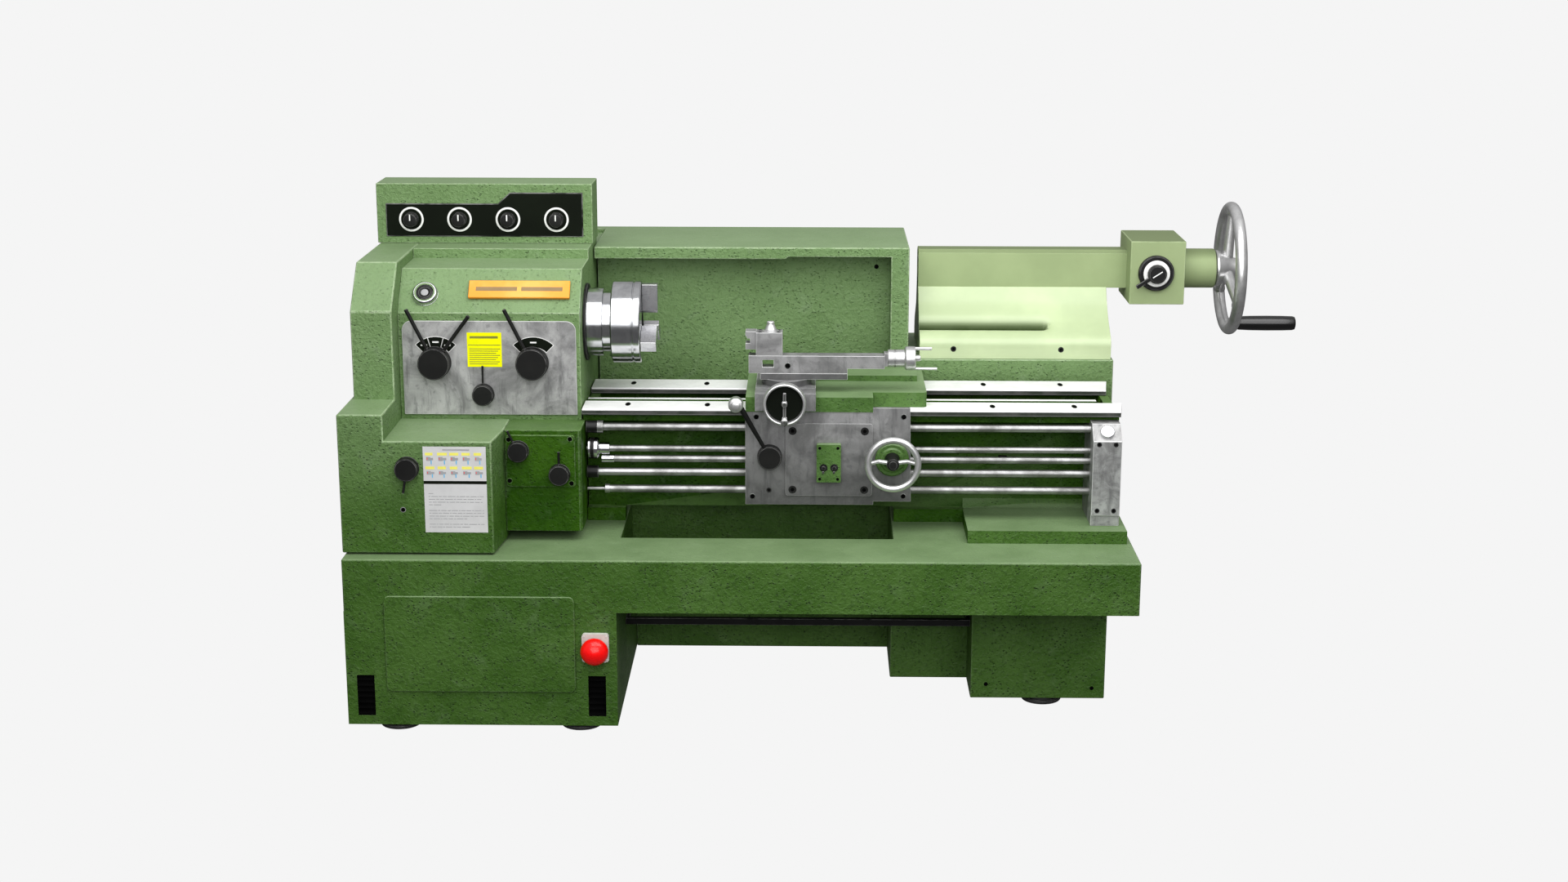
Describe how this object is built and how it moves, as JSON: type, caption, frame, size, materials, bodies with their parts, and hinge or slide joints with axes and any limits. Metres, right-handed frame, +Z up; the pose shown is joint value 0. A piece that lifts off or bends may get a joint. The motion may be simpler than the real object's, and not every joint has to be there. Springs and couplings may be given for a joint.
{
  "type": "metal lathe",
  "caption": "Engine lathe on a cabinet stand with geared headstock, jaw chuck, sliding carriage with cross and compound slides, guard and offset tailstock.",
  "frame": {"origin": "on the floor under the middle of the machine's bounding box", "axes": "+X along the bed from headstock to tailstock, +Y from the operator's side to the back, +Z up"},
  "size_m": [2.795, 1.216, 1.45],
  "materials": {
    "green_paint": "pebbled machine enamel, satin",
    "pale_green_paint": "smooth machine enamel, satin",
    "orange_paint": "satin",
    "black_metal": "matt black",
    "black_plastic": "satin moulded",
    "red_plastic": "glossy moulded",
    "foot_rubber": "matt",
    "bright_steel": "ground and polished",
    "stained_steel": "milled, stained by coolant",
    "hard_steel": "ground",
    "chuck_chrome": "polished"
  },
  "bodies": {
    "frame": {"tray": "green_paint", "cabinet": "green_paint", "cabinet_cover": "green_paint", "right_pedestal": "green_paint", "foot_1": "foot_rubber", "foot_2": "foot_rubber", "foot_3": "foot_rubber", "foot_4": "foot_rubber", "foot_5": "foot_rubber", "bed": "green_paint", "front_way": "bright_steel", "rear_way": "bright_steel", "end_bracket": "stained_steel", "splash_guard": "green_paint", "rear_pedestal": "green_paint", "headstock": "green_paint", "head_plate": "stained_steel", "name_plate": "orange_paint", "gear_cover": "green_paint", "feed_gearbox": "green_paint", "control_box": "green_paint", "tailstock": "pale_green_paint"},
    "carriage": {"saddle": "green_paint", "apron": "stained_steel"},
    "swivel": {"swivel_base": "stained_steel"},
    "compound": {"compound_slide": "stained_steel"},
    "brake_bar": {"brake_bar": "black_metal"},
    "gear_lever": {"gear_lever": "black_metal"},
    "range_lever": {"range_lever": "black_metal"},
    "direction_lever": {"direction_lever": "black_metal"},
    "feed_lever_upper": {"feed_lever_upper": "black_metal"},
    "feed_lever_lower": {"feed_lever_lower": "black_metal"},
    "cover_lever": {"cover_lever": "black_metal"},
    "half_nut_lever": {"half_nut_lever": "black_metal"},
    "dial_1": {"dial_1": "black_plastic"},
    "dial_2": {"dial_2": "black_plastic"},
    "dial_3": {"dial_3": "black_plastic"},
    "dial_4": {"dial_4": "black_plastic"},
    "start_button": {"start_button": "black_plastic"},
    "push_button_left": {"push_button_left": "black_plastic"},
    "push_button_right": {"push_button_right": "black_plastic"},
    "crank_grip": {"crank_grip": "black_plastic"},
    "clamp_lever": {"clamp_lever": "black_plastic"},
    "lead_screw": {"lead_screw": "bright_steel"},
    "feed_rod": {"feed_rod": "bright_steel"},
    "clutch_rod": {"clutch_rod": "bright_steel"},
    "trip_rod": {"trip_rod": "bright_steel"},
    "control_rod": {"control_rod": "bright_steel"},
    "apron_wheel": {"apron_wheel": "bright_steel"},
    "compound_wheel": {"compound_wheel": "bright_steel"},
    "tail_wheel": {"tail_wheel": "bright_steel"},
    "quill": {"quill": "bright_steel"},
    "cross_slide": {"cross_slide": "stained_steel"},
    "tool_post": {"tool_post": "stained_steel"},
    "cross_wheel": {"cross_wheel": "stained_steel"},
    "chuck": {"chuck": "chuck_chrome"},
    "jaw_1": {"jaw_1": "hard_steel"},
    "jaw_2": {"jaw_2": "hard_steel"},
    "jaw_3": {"jaw_3": "hard_steel"},
    "stop_button": {"stop_button": "red_plastic"}
  },
  "joints": [
    {"name": "brake_bar_press", "type": "hinge", "parent": "frame", "child": "brake_bar", "pos_m": [-0.1355, -0.147, 0.234], "axis": [1, 0, 0], "range_deg": [0, 8], "stiffness_Nm_per_rad": 30, "springref_deg": -14.32},
    {"name": "lead_screw_turn", "type": "hinge", "parent": "frame", "child": "lead_screw", "pos_m": [-0.0225, -0.24, 0.809], "axis": [1, 0, 0], "continuous": true},
    {"name": "feed_rod_turn", "type": "hinge", "parent": "frame", "child": "feed_rod", "pos_m": [-0.0225, -0.24, 0.677], "axis": [1, 0, 0], "continuous": true},
    {"name": "clutch_rod_turn", "type": "hinge", "parent": "frame", "child": "clutch_rod", "pos_m": [-0.0225, -0.24, 0.746], "axis": [1, 0, 0], "continuous": true},
    {"name": "trip_rod_turn", "type": "hinge", "parent": "frame", "child": "trip_rod", "pos_m": [-0.0025, -0.24, 0.716], "axis": [1, 0, 0], "range_deg": [-15, 15]},
    {"name": "control_rod_turn", "type": "hinge", "parent": "frame", "child": "control_rod", "pos_m": [-0.0225, -0.24, 0.627], "axis": [1, 0, 0], "range_deg": [-20, 20]},
    {"name": "start_button_press", "type": "slide", "parent": "frame", "child": "start_button", "axis": [0, 0.7704, -0.6376], "range_m": [0, 0.004], "stiffness_N_per_m": 500, "springref_m": -0.003},
    {"name": "gear_lever_turn", "type": "hinge", "parent": "frame", "child": "gear_lever", "pos_m": [-1.1675, -0.242, 0.991], "axis": [0, 1, 0], "range_deg": [-7, 15]},
    {"name": "range_lever_turn", "type": "hinge", "parent": "frame", "child": "range_lever", "pos_m": [-0.8905, -0.242, 0.991], "axis": [0, 1, 0], "range_deg": [-5, 60]},
    {"name": "direction_lever_turn", "type": "hinge", "parent": "frame", "child": "direction_lever", "pos_m": [-1.0325, -0.242, 0.899], "axis": [0, 1, 0], "range_deg": [-35, 35]},
    {"name": "feed_lever_upper_turn", "type": "hinge", "parent": "frame", "child": "feed_lever_upper", "pos_m": [-0.9195, -0.372, 0.767], "axis": [0, 1, 0], "range_deg": [0, 60]},
    {"name": "feed_lever_lower_turn", "type": "hinge", "parent": "frame", "child": "feed_lever_lower", "pos_m": [-0.8055, -0.372, 0.7], "axis": [0, 1, 0], "range_deg": [-40, 40]},
    {"name": "cover_lever_turn", "type": "hinge", "parent": "frame", "child": "cover_lever", "pos_m": [-1.2075, -0.512, 0.751], "axis": [0, 1, 0], "range_deg": [-40, 40]},
    {"name": "dial_1_turn", "type": "hinge", "parent": "frame", "child": "dial_1", "pos_m": [-1.2895, 0.148, 1.344], "axis": [0, 1, 0], "range_deg": [-60, 60]},
    {"name": "dial_2_turn", "type": "hinge", "parent": "frame", "child": "dial_2", "pos_m": [-1.1465, 0.148, 1.344], "axis": [0, 1, 0], "range_deg": [-60, 60]},
    {"name": "dial_3_turn", "type": "hinge", "parent": "frame", "child": "dial_3", "pos_m": [-1.0025, 0.148, 1.344], "axis": [0, 1, 0], "range_deg": [-60, 60]},
    {"name": "dial_4_turn", "type": "hinge", "parent": "frame", "child": "dial_4", "pos_m": [-0.8585, 0.148, 1.344], "axis": [0, 1, 0], "range_deg": [-60, 60]},
    {"name": "stop_button_press", "type": "slide", "parent": "frame", "child": "stop_button", "axis": [0, 1, 0], "range_m": [0, 0.005]},
    {"name": "chuck_spin", "type": "hinge", "parent": "frame", "child": "chuck", "pos_m": [-0.6725, -0.042, 1.075], "axis": [1, 0, 0], "continuous": true},
    {"name": "jaw_1_slide", "type": "slide", "parent": "chuck", "child": "jaw_1", "axis": [0, 0, 1], "range_m": [-0.013, 0.015]},
    {"name": "jaw_2_slide", "type": "slide", "parent": "chuck", "child": "jaw_2", "axis": [0, -0.866, -0.5], "range_m": [-0.013, 0.015]},
    {"name": "jaw_3_slide", "type": "slide", "parent": "chuck", "child": "jaw_3", "axis": [0, 0.866, -0.5], "range_m": [-0.013, 0.015]},
    {"name": "carriage_travel", "type": "slide", "parent": "frame", "child": "carriage", "axis": [1, 0, 0], "range_m": [-0.16, 0.48]},
    {"name": "apron_wheel_turn", "type": "hinge", "parent": "carriage", "child": "apron_wheel", "pos_m": [0.1295, -0.342, 0.731], "axis": [0, 1, 0], "range_deg": [-2405, 7205]},
    {"name": "push_button_left_press", "type": "slide", "parent": "carriage", "child": "push_button_left", "axis": [0, 1, 0], "range_m": [0, 0.003], "stiffness_N_per_m": 300, "springref_m": -0.002},
    {"name": "push_button_right_press", "type": "slide", "parent": "carriage", "child": "push_button_right", "axis": [0, 1, 0], "range_m": [0, 0.003], "stiffness_N_per_m": 300, "springref_m": -0.002},
    {"name": "half_nut_lever_turn", "type": "hinge", "parent": "carriage", "child": "half_nut_lever", "pos_m": [-0.2175, -0.292, 0.733], "axis": [0, 1, 0], "range_deg": [-25, 0]},
    {"name": "cross_wheel_turn", "type": "hinge", "parent": "carriage", "child": "cross_wheel", "pos_m": [-0.1745, -0.342, 0.907], "axis": [0, 1, 0], "range_deg": [0, 10800]},
    {"name": "cross_slide_travel", "type": "slide", "parent": "carriage", "child": "cross_slide", "axis": [0, 1, 0], "range_m": [0, 0.15]},
    {"name": "compound_swivel", "type": "hinge", "parent": "cross_slide", "child": "swivel", "pos_m": [-0.1705, -0.166, 0.935], "axis": [0, 0, 1], "range_deg": [-20, 20]},
    {"name": "compound_travel", "type": "slide", "parent": "swivel", "child": "compound", "axis": [1, 0, 0], "range_m": [-0.05, 0.05]},
    {"name": "compound_wheel_turn", "type": "hinge", "parent": "compound", "child": "compound_wheel", "pos_m": [0.1575, -0.189, 1.001], "axis": [1, 0, 0], "range_deg": [-4500, 4500]},
    {"name": "tool_post_index", "type": "hinge", "parent": "compound", "child": "tool_post", "pos_m": [-0.22, -0.185, 1.04], "axis": [0, 0, 1], "continuous": true},
    {"name": "quill_travel", "type": "slide", "parent": "frame", "child": "quill", "axis": [-1, 0, 0], "range_m": [0, 0.11]},
    {"name": "tail_wheel_turn", "type": "hinge", "parent": "frame", "child": "tail_wheel", "pos_m": [1.1875, 0.398, 1.167], "axis": [-1, 0, 0], "range_deg": [0, 7920]},
    {"name": "crank_grip_spin", "type": "hinge", "parent": "tail_wheel", "child": "crank_grip", "pos_m": [1.2975, 0.398, 0.9955], "axis": [1, 0, 0], "continuous": true},
    {"name": "clamp_lever_turn", "type": "hinge", "parent": "frame", "child": "clamp_lever", "pos_m": [0.9415, 0.253, 1.172], "axis": [0, 1, 0], "range_deg": [-30, 60]}
  ],
  "couplings": [
    {"joint": "jaw_2_slide", "follows": "jaw_1_slide", "ratio": 1},
    {"joint": "jaw_3_slide", "follows": "jaw_1_slide", "ratio": 1},
    {"joint": "apron_wheel_turn", "follows": "carriage_travel", "rad_per_m": 261.8},
    {"joint": "cross_slide_travel", "follows": "cross_wheel_turn", "m_per_rad": 0.0007957},
    {"joint": "compound_travel", "follows": "compound_wheel_turn", "m_per_rad": -0.0006366},
    {"joint": "quill_travel", "follows": "tail_wheel_turn", "m_per_rad": 0.0007957}
  ]
}
